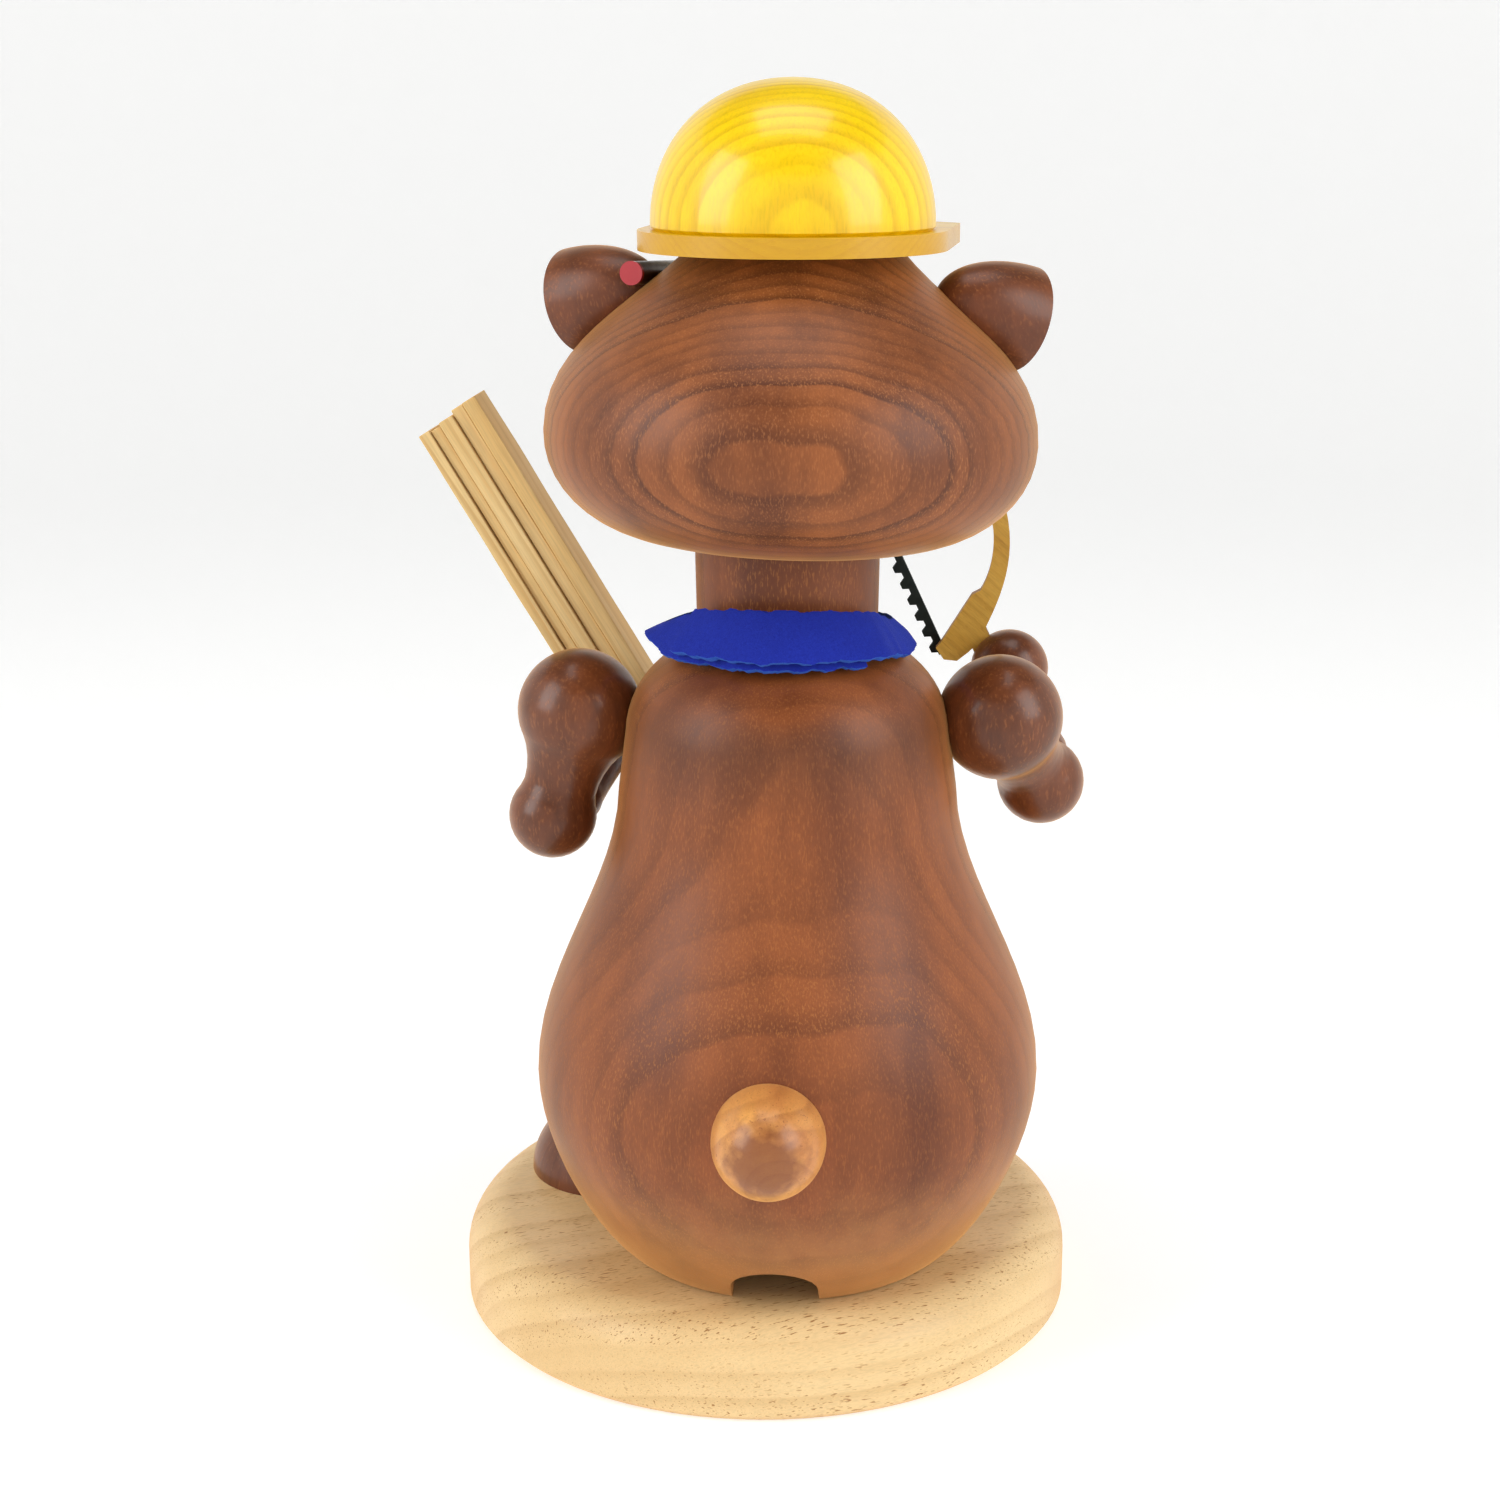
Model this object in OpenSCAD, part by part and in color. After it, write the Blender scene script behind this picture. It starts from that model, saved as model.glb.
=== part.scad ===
// Turned-wood incense smoker: a bear dressed as a builder, with a hard hat, a pencil,
// a neckerchief, a bow saw and a bundle of battens, on a round base plate.
// Millimetres. +Z is up and the figure faces -Y, so its left side is at +X.
// The origin is where the figure's turning axis meets the underside of the base plate.

/* [Base plate] */
// Diameter of the base plate
base_d = 100; // [90:1:130]
// Thickness of the base plate
base_h = 15; // [12:0.5:20]
// Radius of its rounded upper edge
base_round = 7.5; // [3:0.5:9]
// Distance from the turning axis forward to the middle of the plate
base_offset = 14; // [8:0.5:18]
// Angle between the front of the plate and the front of the figure
base_turn = 19; // [-60:1:60]

/* [Feet] */
// Radius of a foot
foot_r = 14.5; // [10:0.5:16]
// Height of a foot
foot_h = 12.5; // [9:0.5:15]
// Angle of each foot from the front of the plate
foot_splay = 52; // [40:1:60]

/* [Ember dish and locating disc] */
// Thickness of the locating disc
disc_h = 4; // [3:0.5:6]
// Diameter of the pressed dish that carries the incense cone
dish_d = 26; // [20:1:32]
// Height of the dish's turned-up rim
dish_rim = 2; // [1.5:0.5:4]
// Radius of the tack that the disc turns on
tack_r = 0.9; // [0.7:0.1:1.2]

/* [Body] */
// Outside radius of the rim that the body stands on
rim_r = 26.5; // [25:0.5:32]
// Radius of the ember chamber
chamber_r = 20; // [17:0.5:21]
// Depth of the ember chamber
chamber_h = 62; // [50:1:70]
// Largest radius of the belly
belly_r = 39.8; // [34:0.2:48]
// Height of the belly's widest place above the rim
belly_z = 28.8; // [24:0.2:34]
// Radius of the chest
chest_r = 26.2; // [22:0.2:31.5]
// Height of the chest above the rim
chest_z = 74.8; // [70:0.2:80]
// Radius of the neck
neck_r = 13.8; // [12:0.1:16.5]
// Length of the neck
neck_l = 16.5; // [12:0.1:20]
// Width of the draught notch at the back of the rim
notch_w = 13.4; // [8:0.2:15]
// Height of the draught notch
notch_h = 7.6; // [4:0.2:9]

/* [Head] */
// Largest radius of the head
head_r = 37; // [31:0.2:44.4]
// Height of the head
head_h = 42.2; // [38:0.1:51]
// Angle that the head leans toward the figure's right
head_lean = 2; // [0:0.5:3]
// Radius of the smoke shaft through neck and head
shaft_r = 6; // [4.5:0.1:7]
// Radius of the mouth
mouth_r = 3.6; // [3:0.1:4.5]
// Radius of the muzzle
muzzle_r = 13; // [10:0.5:15]
// Radius of an ear
ear_r = 8; // [6:0.5:10]
// Depth of an ear from its rim to its round end
ear_h = 15; // [11:0.5:17]

/* [Hard hat] */
// Radius of the dome
dome_r = 21; // [18:0.1:25.2]
// Height of the dome
dome_h = 21.6; // [18:0.2:26]
// Radius of the brim
brim_r = 22.9; // [21.5:0.1:27.5]
// Thickness of the brim
brim_t = 2.9; // [2:0.1:4]
// How far the peak stands out in front of the brim
peak = 7; // [0:0.5:12]
// Angle that the peak points away from the front, toward the figure's right
peak_turn = 4.5; // [0:0.5:8]

/* [Arms] */
// Radius of the shoulder bead
shoulder_bead_r = 9.7; // [8:0.1:11]
// Radius of the elbow bead
elbow_bead_r = 6.9; // [5.5:0.1:8]
// Length between the two beads
upper_arm_l = 17.3; // [14.5:0.1:20.8]
// Length from elbow to hand
forearm_l = 24.2; // [22:0.1:29]
// Radius of a hand
hand_r = 6.4; // [5.5:0.1:7.5]

/* [Tail and dowels] */
// Radius of the tail
tail_r = 8.4; // [6:0.2:10]
// Radius of the limb dowels
dowel_r = 2; // [1.5:0.1:2.5]

/* [Neckerchief, pencil, saw and battens] */
// Thickness of the felt
felt_t = 1.2; // [0.8:0.1:2]
// Radius of the pencil
pencil_r = 1.75; // [1.5:0.05:2.2]
// Length of the pencil
pencil_l = 34; // [28:1:40]
// Length of the saw blade
blade_l = 30; // [26:1:32]
// Thickness of the saw's plywood bow
bow_t = 2; // [1.5:0.1:2.5]
// Height of the saw's bow above its blade
bow_h = 18.8; // [17:0.1:22.6]
// Length of the battens
batten_l = 75.5; // [60:0.5:91]
// Width of the battens
batten_w = 9; // [6:0.5:10]

/* [Hidden] */

$fn = 96;
steps = 12;                 // chords in one turned curve
glue_gap = 0.05;            // radial room for glue
seat_gap = 0.2;             // between pieces that slide or turn on each other
spin_gap = 0.05;            // running room round the tack
foot_gap = 0.5;             // between a foot and the belly above it
over = 1;                   // how far a cutter runs past a surface

brown = "#7a4426";
dark_brown = "#5a2e1c";
beech = "#e8cf9c";
yellow = "#efcb0a";
blue = "#1a2a96";
pine = "#e3c58a";

// Heights above the table
seat_z = base_h + seat_gap;
shoulder_r = chest_r - 1.2;
shoulder_z = seat_z + chest_z + 9;
neck_z = shoulder_z + 14;
head_z = neck_z + neck_l;
cheek_z = head_z + 0.352 * head_h;
crown_z = head_z + head_h;
crown_r = 0.4125 * head_r;
dome_z = crown_z + brim_t;
hat_x = -0.8;               // the hat is glued on a little toward the figure's right

// Joints between the turned pieces; the neck sinks into the leaning head until it meets all round
neck_sink = (neck_r + 0.3) * sin(head_lean) + 0.1;
tenon_r = shaft_r + 3;
tenon_l = 8;
mouth_z = cheek_z + 1.6;
muzzle_y = -head_r + 3.2;
muzzle_l = 15;

function unit(v) = v / norm(v);
function bezier(a, b, c, d, n = steps) = [for (i = [0 : n]) let (t = i / n, u = 1 - t)
    u * u * u * a + 3 * u * u * t * b + 3 * u * t * t * c + t * t * t * d];
function arc(c, rx, ry, from, to, n = steps) = [for (i = [0 : n])
    let (w = from + (to - from) * i / n) [c[0] + rx * cos(w), c[1] + ry * sin(w)]];
function widened(line, gap) = [for (p = line) [p[0] + gap, p[1]]];

// Outline of the body from its rim to the top of the neck
body_line = concat(
    bezier([rim_r, seat_z], [rim_r + 5.5, seat_z + 3.8],
        [belly_r, seat_z + belly_z - 11], [belly_r, seat_z + belly_z]),
    bezier([belly_r, seat_z + belly_z], [belly_r, seat_z + belly_z + 16],
        [chest_r + 0.4, seat_z + chest_z - 16], [chest_r, seat_z + chest_z]),
    bezier([shoulder_r, shoulder_z], [shoulder_r - 0.4, shoulder_z + 6],
        [neck_r + 7.4, neck_z - 3], [neck_r, neck_z]),
    [[neck_r + 0.3, head_z + neck_sink]]);

// Outline of the head from its underside to a little above the seat of the hat
head_line = concat(
    bezier([neck_r + 6.3, head_z], [0.73 * head_r, head_z - 0.6],
        [head_r, cheek_z - 9.7], [head_r, cheek_z]),
    bezier([head_r, cheek_z], [head_r, cheek_z + 12.9],
        [crown_r + 8.7, crown_z - 9], [crown_r, crown_z + 0.6]));

// Places on the arms; side is 1 for the figure's left and -1 for its right
function shoulder(side) = [side * (shoulder_r + 7.8), -3, shoulder_z + 1.5];
left_elbow = shoulder(1) + upper_arm_l * unit([4.4, 1.5, -16.6]);
left_hand = left_elbow + forearm_l * unit([-8.5, -21, 9.5]);
// The right arm swings out with the width of the head, so that the saw stands clear of it
right_swing = head_r - 30.25;
right_elbow = shoulder(-1) + upper_arm_l * unit([-right_swing, -9.5, -12.6]);
right_hand = right_elbow + forearm_l * unit([18.45 - 2 * right_swing, -19.3, 13.9]);
shoulder_dowel_l = 13;
elbow_dowel_l = 12;

// Ears, in the upright head: the middle of the rim, where it faces, and where its dowel goes
function ear_middle(side) = [side * (head_r - 3.4), -8.1, crown_z - 9.5];
function ear_facing(side) = unit([side * 0.84, -0.49, -0.25]);
function ear_dowel_way(side) = unit([-side * 0.75, 0.1, -0.65]);
ear_dowel_r = 1.5;
ear_dowel_l = 13;

eye_r = 2.6;
nose_r = 4.3;
function eye_middle(side) = [side * 11, -0.755 * head_r, crown_z - 12.6];
nose_middle = [0, muzzle_y - 0.76 * muzzle_l, mouth_z + 0.65 * muzzle_r];

tail_l = 9.8;
tail_middle = [0, belly_r - 0.3, seat_z + belly_z + 3.3];
tail_dowel_l = 12;

helmet_dowel_r = 3;
helmet_dowel_l = 8;

// The pencil lies midway between the seat of the hat and the side of the head, by the ear
pencil_end = [(crown_r + head_r) / 2 - 2.27, 5.6, crown_z - 4];
pencil_way = unit([-0.22, -0.97, -0.05]);
pencil_tip_l = 5;
lead_r = 0.6;

// The saw stands in a plane parallel to XZ; its blade leans by saw_lean
saw_lean = 65;
saw_foot = right_hand + [10.5, -0.8, 2.1];
blade_t = 0.8;
tooth_pitch = 2.95;
bow_w = 2.7;
tang_l = 6;
tang_w = 3.4;

// The battens lean outward and rest on the front of the left hand, which is cut flat where
// they touch; each has its own thickness and end
batten_lean = 30.7;
batten_y = left_hand[1] - hand_r + 1.18;
batten_hold = [shoulder(1)[0] + 0.7, batten_y, shoulder(1)[2] + 2.1];
batten_t = [2.6, 2.2, 2.7, 1.8, 2.1];
batten_top = [1, 0.9, 0.2, -0.3, 0];
batten_step = [0.2, 0.7, 0.1, 0.6, 0];
batten_below = 29;

felt_low = shoulder_z + 13.4;
felt_top = felt_low + 8.2;
felt_tip = shoulder_z - 4;
felt_line = [[neck_r + 0.6, felt_top], [neck_r + 1.6, felt_top - 3.4],
    [neck_r + 5.9, felt_low], [shoulder_r + 0.1, shoulder_z + 6.5],
    [shoulder_r + 0.8, shoulder_z], [chest_r + 0.4, felt_tip - 2]];

// The head and what is fixed to it lean together about the middle of the head's underside
module on_head() {
    translate([0, 0, head_z]) rotate([0, -head_lean, 0]) translate([0, 0, -head_z]) children();
}

// A solid turned round Z from an outline, closed to the axis at both of its ends
module turned(line) {
    off_axis = [for (p = line) if (p[0] > 0.001) p];
    rotate_extrude() polygon(concat([[0, line[0][1]]], off_axis, [[0, line[len(line) - 1][1]]]));
}

// Puts children at p with their +Z along a direction
module toward(p, way) {
    d = unit(way);
    translate(p) rotate([0, acos(d[2]), atan2(d[1], d[0])]) children();
}

// The plate's own frame: turned against the figure and set forward of it
module on_plate() {
    rotate([0, 0, base_turn]) translate([0, -base_offset, 0]) children();
}

// A half or whole egg turned round Z
module egg(r, l, from = -90, to = 90) {
    turned(arc([0, 0], r, l, from, to, 2 * steps));
}

module base_plate() {
    color(beech) difference() {
        on_plate() turned(concat(
            [[base_d / 2 - 1, 0], [base_d / 2, 1]],
            arc([base_d / 2 - base_round, base_h - base_round], base_round, base_round, 0, 90)));
        translate([0, 0, base_h - 9]) cylinder(r = tack_r + spin_gap, h = 9 + over);
    }
}

module foot(side) {
    out = base_d / 2 - base_round - foot_r;
    color(dark_brown) difference() {
        on_plate() translate([side * out * sin(foot_splay), -out * cos(foot_splay), base_h])
            egg(foot_r, foot_h, 0, 90);
        turned(widened(body_line, foot_gap));
        cylinder(r = rim_r + foot_gap, h = seat_z + over);
    }
}

// The disc's channel lines up with the draught notch, because they turn together
module locating_disc() {
    color(beech) difference() {
        translate([0, 0, seat_z]) cylinder(r = chamber_r - spin_gap, h = disc_h);
        translate([0, 0, base_h]) cylinder(r = tack_r + spin_gap, h = disc_h + 2 * over);
        translate([-notch_w / 2, dish_d / 2 - 3, base_h])
            cube([notch_w, chamber_r, disc_h + 2 * over]);
    }
}

module ember_dish() {
    metal = 0.5;
    z = seat_z + disc_h;
    color("#b9bcc0") difference() {
        translate([0, 0, z]) turned([[dish_d / 2 - metal, 0], [dish_d / 2, metal],
            [dish_d / 2 + 0.6, dish_rim], [dish_d / 2 - metal, dish_rim]]);
        translate([0, 0, z + metal]) cylinder(r = dish_d / 2 - metal, h = dish_rim);
        cylinder(r = tack_r + spin_gap, h = z + dish_rim);
    }
}

module disc_tack() {
    z = seat_z + disc_h + 0.5 + spin_gap;
    color("#c9a24a") {
        translate([0, 0, base_h - 8.5]) cylinder(r = tack_r, h = z - base_h + 8.6);
        translate([0, 0, z]) turned([[2.4, 0], [2.4, 0.3], [1.6, 0.8]]);
    }
}

// The draught notch is an arch cut through the back of the rim
module notch() {
    translate([0, chamber_r / 2, seat_z]) rotate([90, 0, 180])
        linear_extrude(height = belly_r) polygon(concat(
            [[-notch_w / 2, -over], [notch_w / 2, -over]],
            arc([0, notch_h * 0.45], notch_w / 2, notch_h * 0.55, 0, 180)));
}

module body() {
    color(brown) difference() {
        union() {
            turned(body_line);
            translate([0, 0, head_z - over]) cylinder(r = tenon_r, h = tenon_l + over);
        }
        translate([0, 0, seat_z - over]) cylinder(r = chamber_r, h = chamber_h + over);
        translate([0, 0, seat_z + chamber_h])
            cylinder(r1 = chamber_r, r2 = shaft_r, h = chamber_r - shaft_r);
        translate([0, 0, seat_z]) cylinder(r = shaft_r, h = head_z + tenon_l);
        notch();
        for (side = [-1, 1]) shoulder_dowel(side, glue_gap);
        tail_dowel_solid(glue_gap);
    }
}

module tail_dowel_solid(gap) {
    translate(tail_middle + [0, tail_l - 5 - tail_dowel_l, 0])
        rotate([-90, 0, 0]) cylinder(r = dowel_r + gap, h = tail_dowel_l + gap);
}

module tail() {
    color("#a0602f") difference() {
        translate(tail_middle) rotate([-90, 0, 0]) egg(tail_r, tail_l);
        turned(widened(body_line, glue_gap));
        tail_dowel_solid(glue_gap);
    }
}

module tail_dowel() {
    color(beech) tail_dowel_solid(0);
}

module head() {
    color(brown) difference() {
        on_head() difference() {
            turned(head_line);
            translate([0, 0, mouth_z]) rotate([90, 0, 0])
                cylinder(r = mouth_r, h = head_r + over);
            for (side = [-1, 1]) {
                ear_dowel(side, glue_gap);
                translate(eye_middle(side)) sphere(r = eye_r + glue_gap);
            }
            toward(pencil_end, pencil_way) cylinder(r = pencil_r + glue_gap, h = pencil_l);
        }
        turned(widened(body_line, glue_gap));
        translate([0, 0, head_z - over]) cylinder(r = tenon_r + glue_gap, h = tenon_l + 1.4);
        translate([0, 0, head_z]) cylinder(r = shaft_r, h = mouth_z - head_z + 6);
        translate([-head_r, -head_r, crown_z]) cube([2 * head_r, 2 * head_r, 3 * over]);
        helmet_dowel_solid(glue_gap);
    }
}

module muzzle() {
    color("#b98a58") on_head() difference() {
        translate([0, muzzle_y, mouth_z]) rotate([90, 0, 0]) egg(muzzle_r, muzzle_l);
        turned(widened(head_line, glue_gap));
        translate([0, 0, mouth_z]) rotate([90, 0, 0])
            cylinder(r = mouth_r, h = head_r + 2 * muzzle_l);
        translate(nose_middle) sphere(r = nose_r + glue_gap);
    }
}

module nose() {
    color("#15110f") on_head() translate(nose_middle) sphere(r = nose_r);
}

module eye(side) {
    color("#15110f") on_head() translate(eye_middle(side)) sphere(r = eye_r);
}

module ear(side) {
    dish_depth = 1.6;
    land = 1.1;
    dish_ball = ((ear_r - land) * (ear_r - land) + dish_depth * dish_depth) / (2 * dish_depth);
    color(dark_brown) on_head() difference() {
        toward(ear_middle(side), -ear_facing(side)) difference() {
            egg(ear_r, ear_h, 0, 90);
            translate([0, 0, dish_depth - dish_ball]) sphere(r = dish_ball);
        }
        turned(widened(head_line, glue_gap));
        ear_dowel(side, glue_gap);
        if (side > 0) toward(pencil_end, pencil_way)
            cylinder(r = pencil_r + glue_gap, h = pencil_l);
    }
}

module ear_dowel(side, gap) {
    middle = ear_middle(side) - ear_h * 0.47 * ear_facing(side);
    toward(middle - 1.5 * ear_dowel_way(side), ear_dowel_way(side))
        cylinder(r = ear_dowel_r + gap, h = ear_dowel_l + gap);
}

module ear_dowels() {
    color(beech) on_head() for (side = [-1, 1]) ear_dowel(side, 0);
}

module helmet_dowel_solid(gap) {
    translate([hat_x, 0, crown_z - helmet_dowel_l + 0.4])
        cylinder(r = helmet_dowel_r + gap, h = 2 * helmet_dowel_l + brim_t - 0.8);
}

// Round behind, with straight sides running forward to a curved peak
module helmet_brim() {
    color("#d9b208") difference() {
        translate([hat_x, 0, crown_z]) rotate([0, 0, -peak_turn])
            linear_extrude(height = brim_t) union() {
                circle(r = brim_r);
                intersection() {
                    translate([-brim_r, -brim_r - peak]) square([2 * brim_r, brim_r + peak]);
                    translate([0, brim_r * 0.28 - peak * 0.4])
                        circle(r = brim_r * 1.28 + peak * 0.6);
                }
            }
        helmet_dowel_solid(glue_gap);
    }
}

module helmet_dome() {
    color(yellow) difference() {
        translate([hat_x, 0, dome_z]) turned(concat([[dome_r - 0.5, 0]],
            bezier([dome_r, 0.5], [dome_r, 0.6 * dome_h], [0.59 * dome_r, dome_h],
                [0, dome_h], 2 * steps)));
        helmet_dowel_solid(glue_gap);
    }
}

module helmet_dowel() {
    color(beech) helmet_dowel_solid(0);
}

// A round pencil sharpened to a cone, with its lead standing out of the tip
module pencil() {
    color("#a02830") on_head() difference() {
        toward(pencil_end, pencil_way) {
            cylinder(r = pencil_r, h = pencil_l - pencil_tip_l);
            translate([0, 0, pencil_l - pencil_tip_l])
                cylinder(r1 = pencil_r, r2 = lead_r + 0.1, h = pencil_tip_l);
        }
        toward(pencil_end, pencil_way)
            translate([0, 0, 2]) cylinder(r = lead_r, h = pencil_l);
    }
}

module pencil_lead() {
    color("#1b1b1d") on_head() toward(pencil_end, pencil_way) {
        translate([0, 0, 2]) cylinder(r = lead_r, h = pencil_l - 2);
        translate([0, 0, pencil_l]) cylinder(r1 = lead_r, r2 = 0.2, h = 1.2);
    }
}

// The felt: a band round the neck that flares on to the shoulders, with a point in front
module neckerchief() {
    outer = [for (i = [len(felt_line) - 1 : -1 : 0]) felt_line[i] + [felt_t, 0.3]];
    bib = concat(felt_line, outer);
    band = concat([for (i = [0 : 2]) felt_line[i]], [for (i = [3 : 5]) outer[i]]);
    color(blue) union() {
        rotate_extrude() polygon(band);
        intersection() {
            rotate_extrude() polygon(bib);
            rotate([90, 0, 0]) linear_extrude(height = 2 * chest_r)
                polygon([[-15, felt_low + 2], [15, felt_low + 2], [0, felt_tip]]);
        }
    }
}

// Outline of an upper arm: a shoulder bead and an elbow bead with a waist between
waist_top = [shoulder_bead_r * cos(38), shoulder_bead_r * sin(38)];
waist_low = [elbow_bead_r * cos(28), upper_arm_l - elbow_bead_r * sin(28)];
arm_line = concat(
    arc([0, 0], shoulder_bead_r, shoulder_bead_r, -90, 38, 2 * steps),
    bezier(waist_top, waist_top + [-1.3, 1.7], waist_low + [-1, -1.9], waist_low, 5),
    arc([0, upper_arm_l], elbow_bead_r, elbow_bead_r, -28, 90));

module upper_arm(side, elbow) {
    color(dark_brown) difference() {
        toward(shoulder(side), elbow - shoulder(side)) turned(arm_line);
        turned(widened(body_line, glue_gap));
        shoulder_dowel(side, glue_gap);
        elbow_dowel(side, glue_gap);
    }
}

// One turned piece with a wrist and a round hand, coped to the upper arm
module forearm(side, elbow, hand) {
    start_r = elbow_bead_r * 0.8;
    wrist_r = elbow_bead_r * 0.68;
    color(dark_brown) difference() {
        toward(elbow, hand - elbow) turned(concat(
            [[start_r, 3]],
            bezier([start_r, 6], [wrist_r, 8], [wrist_r, forearm_l - hand_r - 2],
                [hand_r * cos(50), forearm_l - hand_r * sin(50)], 6),
            arc([0, forearm_l], hand_r, hand_r, -40, 90, 2 * steps)));
        toward(shoulder(side), elbow - shoulder(side)) {
            turned(widened(arm_line, glue_gap));
            translate([0, 0, upper_arm_l]) sphere(r = elbow_bead_r + glue_gap);
        }
        elbow_dowel(side, glue_gap);
        if (side > 0) in_battens() translate([-batten_l, glue_gap - batten_w, -batten_l])
            cube([2 * batten_l, batten_w, 2 * batten_l]);
        if (side < 0) in_saw() translate([0, 0, -bow_t / 2 - glue_gap])
            linear_extrude(height = bow_t + 2 * glue_gap) tang_outline(glue_gap);
    }
}

module shoulder_dowel(side, gap) {
    start = shoulder(side) - [side * (shoulder_dowel_l - 4), 0, 0];
    translate(start) rotate([0, side * 90, 0])
        cylinder(r = dowel_r + gap, h = shoulder_dowel_l + gap);
}

module shoulder_dowels() {
    color(beech) for (side = [-1, 1]) shoulder_dowel(side, 0);
}

module elbow_dowel(side, gap) {
    elbow = side > 0 ? left_elbow : right_elbow;
    hand = side > 0 ? left_hand : right_hand;
    toward(elbow, hand - elbow) translate([0, 0, 1])
        cylinder(r = dowel_r + gap, h = elbow_dowel_l + gap);
}

module elbow_dowels() {
    color(beech) for (side = [-1, 1]) elbow_dowel(side, 0);
}

// The saw's own frame: x along the blade from its foot, y toward the bow, z to the back
module in_saw() {
    translate(saw_foot) rotate([90, 0, 180]) rotate([0, 0, 180 - saw_lean])
        mirror([0, 1, 0]) children();
}

// The tang goes down into the slot in the right hand
module tang_outline(gap) {
    translate([-tang_l - gap, 4.4 - gap]) square([tang_l + 1.5, tang_w + 2 * gap]);
}

// The bow runs from the handle, where it widens, round to the top of the blade
module saw_bow() {
    back = [0.61 * blade_l, bow_h];
    color("#d8ac4a") in_saw() translate([0, 0, -bow_t / 2]) linear_extrude(height = bow_t)
        union() {
            polygon(concat(
                [[1.7, -1.1], [-0.6, -0.7], [-1.7, 1.2], [-1.1, 3.6], [0.4, 7.4]],
                bezier([1.6, 7.9], [5, 11.9], back - [8.3, 1.4], back),
                bezier(back, back + [8.6, 1.4], [blade_l + 1.6, 12], [blade_l + 1.3, -1.2]),
                bezier([blade_l - 1.4, -1.2], [blade_l - 1.4, 10], back + [6.7, 1.4 - bow_w],
                    back - [0.2, bow_w]),
                bezier(back - [0.2, bow_w], back - [4.9, bow_w + 0.9], [9.5, 12.4], [7.6, 9.6]),
                [[7.5, 8], [2.3, 0.1]]));
            tang_outline(0);
        }
}

// A toothed steel strip glued to the front of the bow's two ends
module saw_blade() {
    teeth = floor((blade_l - 1) / tooth_pitch);
    root = -1.3;
    tip = -2.3;
    color("#1e241e") in_saw() translate([0, 0, -bow_t / 2 - blade_t - glue_gap])
        linear_extrude(height = blade_t) polygon(concat(
            [[blade_l, root], [blade_l, 0], [0, 0], [0, root]],
            [for (i = [0 : teeth - 1], p = [[0.5, root], [0.9, tip], [1.9, tip], [2.5, root]])
                [i * tooth_pitch + p[0], p[1]]]));
}

// The battens' frame: z up along the bundle, x across it toward the figure's left
module in_battens() {
    translate(batten_hold) rotate([0, batten_lean, 0]) children();
}

function batten_x(i) = i == 0 ? 0 : batten_x(i - 1) + batten_t[i - 1] + glue_gap;
bundle_w = batten_x(4) + batten_t[4];

module batten(i) {
    color(pine) in_battens()
        translate([batten_x(i) - bundle_w / 2, -batten_w - batten_step[i], -batten_below])
            cube([batten_t[i], batten_w, batten_l + batten_top[i]]);
}

base_plate();
foot(1);  // left_foot
foot(-1);  // right_foot
disc_tack();
locating_disc();
ember_dish();
body();
tail();
tail_dowel();
head();
muzzle();
nose();
eye(1);  // left_eye
eye(-1);  // right_eye
ear(1);  // left_ear
ear(-1);  // right_ear
ear_dowels();
helmet_brim();
helmet_dome();
helmet_dowel();
pencil();
pencil_lead();
neckerchief();
upper_arm(1, left_elbow);  // left_upper_arm
upper_arm(-1, right_elbow);  // right_upper_arm
forearm(1, left_elbow, left_hand);  // left_forearm
forearm(-1, right_elbow, right_hand);  // right_forearm
shoulder_dowels();
elbow_dowels();
saw_bow();
saw_blade();
batten(0);  // batten_1
batten(1);  // batten_2
batten(2);  // batten_3
batten(3);  // batten_4
batten(4);  // batten_5
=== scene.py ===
"""A turned-wood incense smoker: a bear dressed as a builder, standing on a round beech plate."""

import math

import bmesh
import bpy
import numpy as np
from mathutils import Matrix, Vector, noise
from mathutils.bvhtree import BVHTree


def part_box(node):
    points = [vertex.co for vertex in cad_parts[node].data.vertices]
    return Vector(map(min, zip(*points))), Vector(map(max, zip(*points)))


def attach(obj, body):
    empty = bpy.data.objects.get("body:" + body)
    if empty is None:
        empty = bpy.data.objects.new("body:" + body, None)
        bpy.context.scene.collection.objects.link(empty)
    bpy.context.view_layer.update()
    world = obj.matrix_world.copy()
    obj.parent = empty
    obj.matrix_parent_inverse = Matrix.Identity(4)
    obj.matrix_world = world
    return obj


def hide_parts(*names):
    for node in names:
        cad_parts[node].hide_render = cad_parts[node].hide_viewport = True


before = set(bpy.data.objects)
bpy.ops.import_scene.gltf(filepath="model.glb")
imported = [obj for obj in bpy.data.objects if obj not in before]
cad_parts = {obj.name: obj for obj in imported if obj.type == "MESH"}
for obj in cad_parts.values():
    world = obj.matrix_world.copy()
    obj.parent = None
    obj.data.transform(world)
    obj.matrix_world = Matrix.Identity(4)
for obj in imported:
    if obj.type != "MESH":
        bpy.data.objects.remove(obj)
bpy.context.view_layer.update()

# ---------------------------------------------------------------- base plate
# One round of solid beech, turned with its upper edge rounded over, and left natural
# under a thin satin lacquer. The grain lies flat and runs slantwise under the figure.


def linear(code):
    """An sRGB hex colour as the linear values that a shader takes."""
    parts = [int(code[i : i + 2], 16) / 255 for i in (1, 3, 5)]
    return tuple(p / 12.92 if p <= 0.04045 else ((p + 0.055) / 1.055) ** 2.4 for p in parts) + (1.0,)


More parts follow.
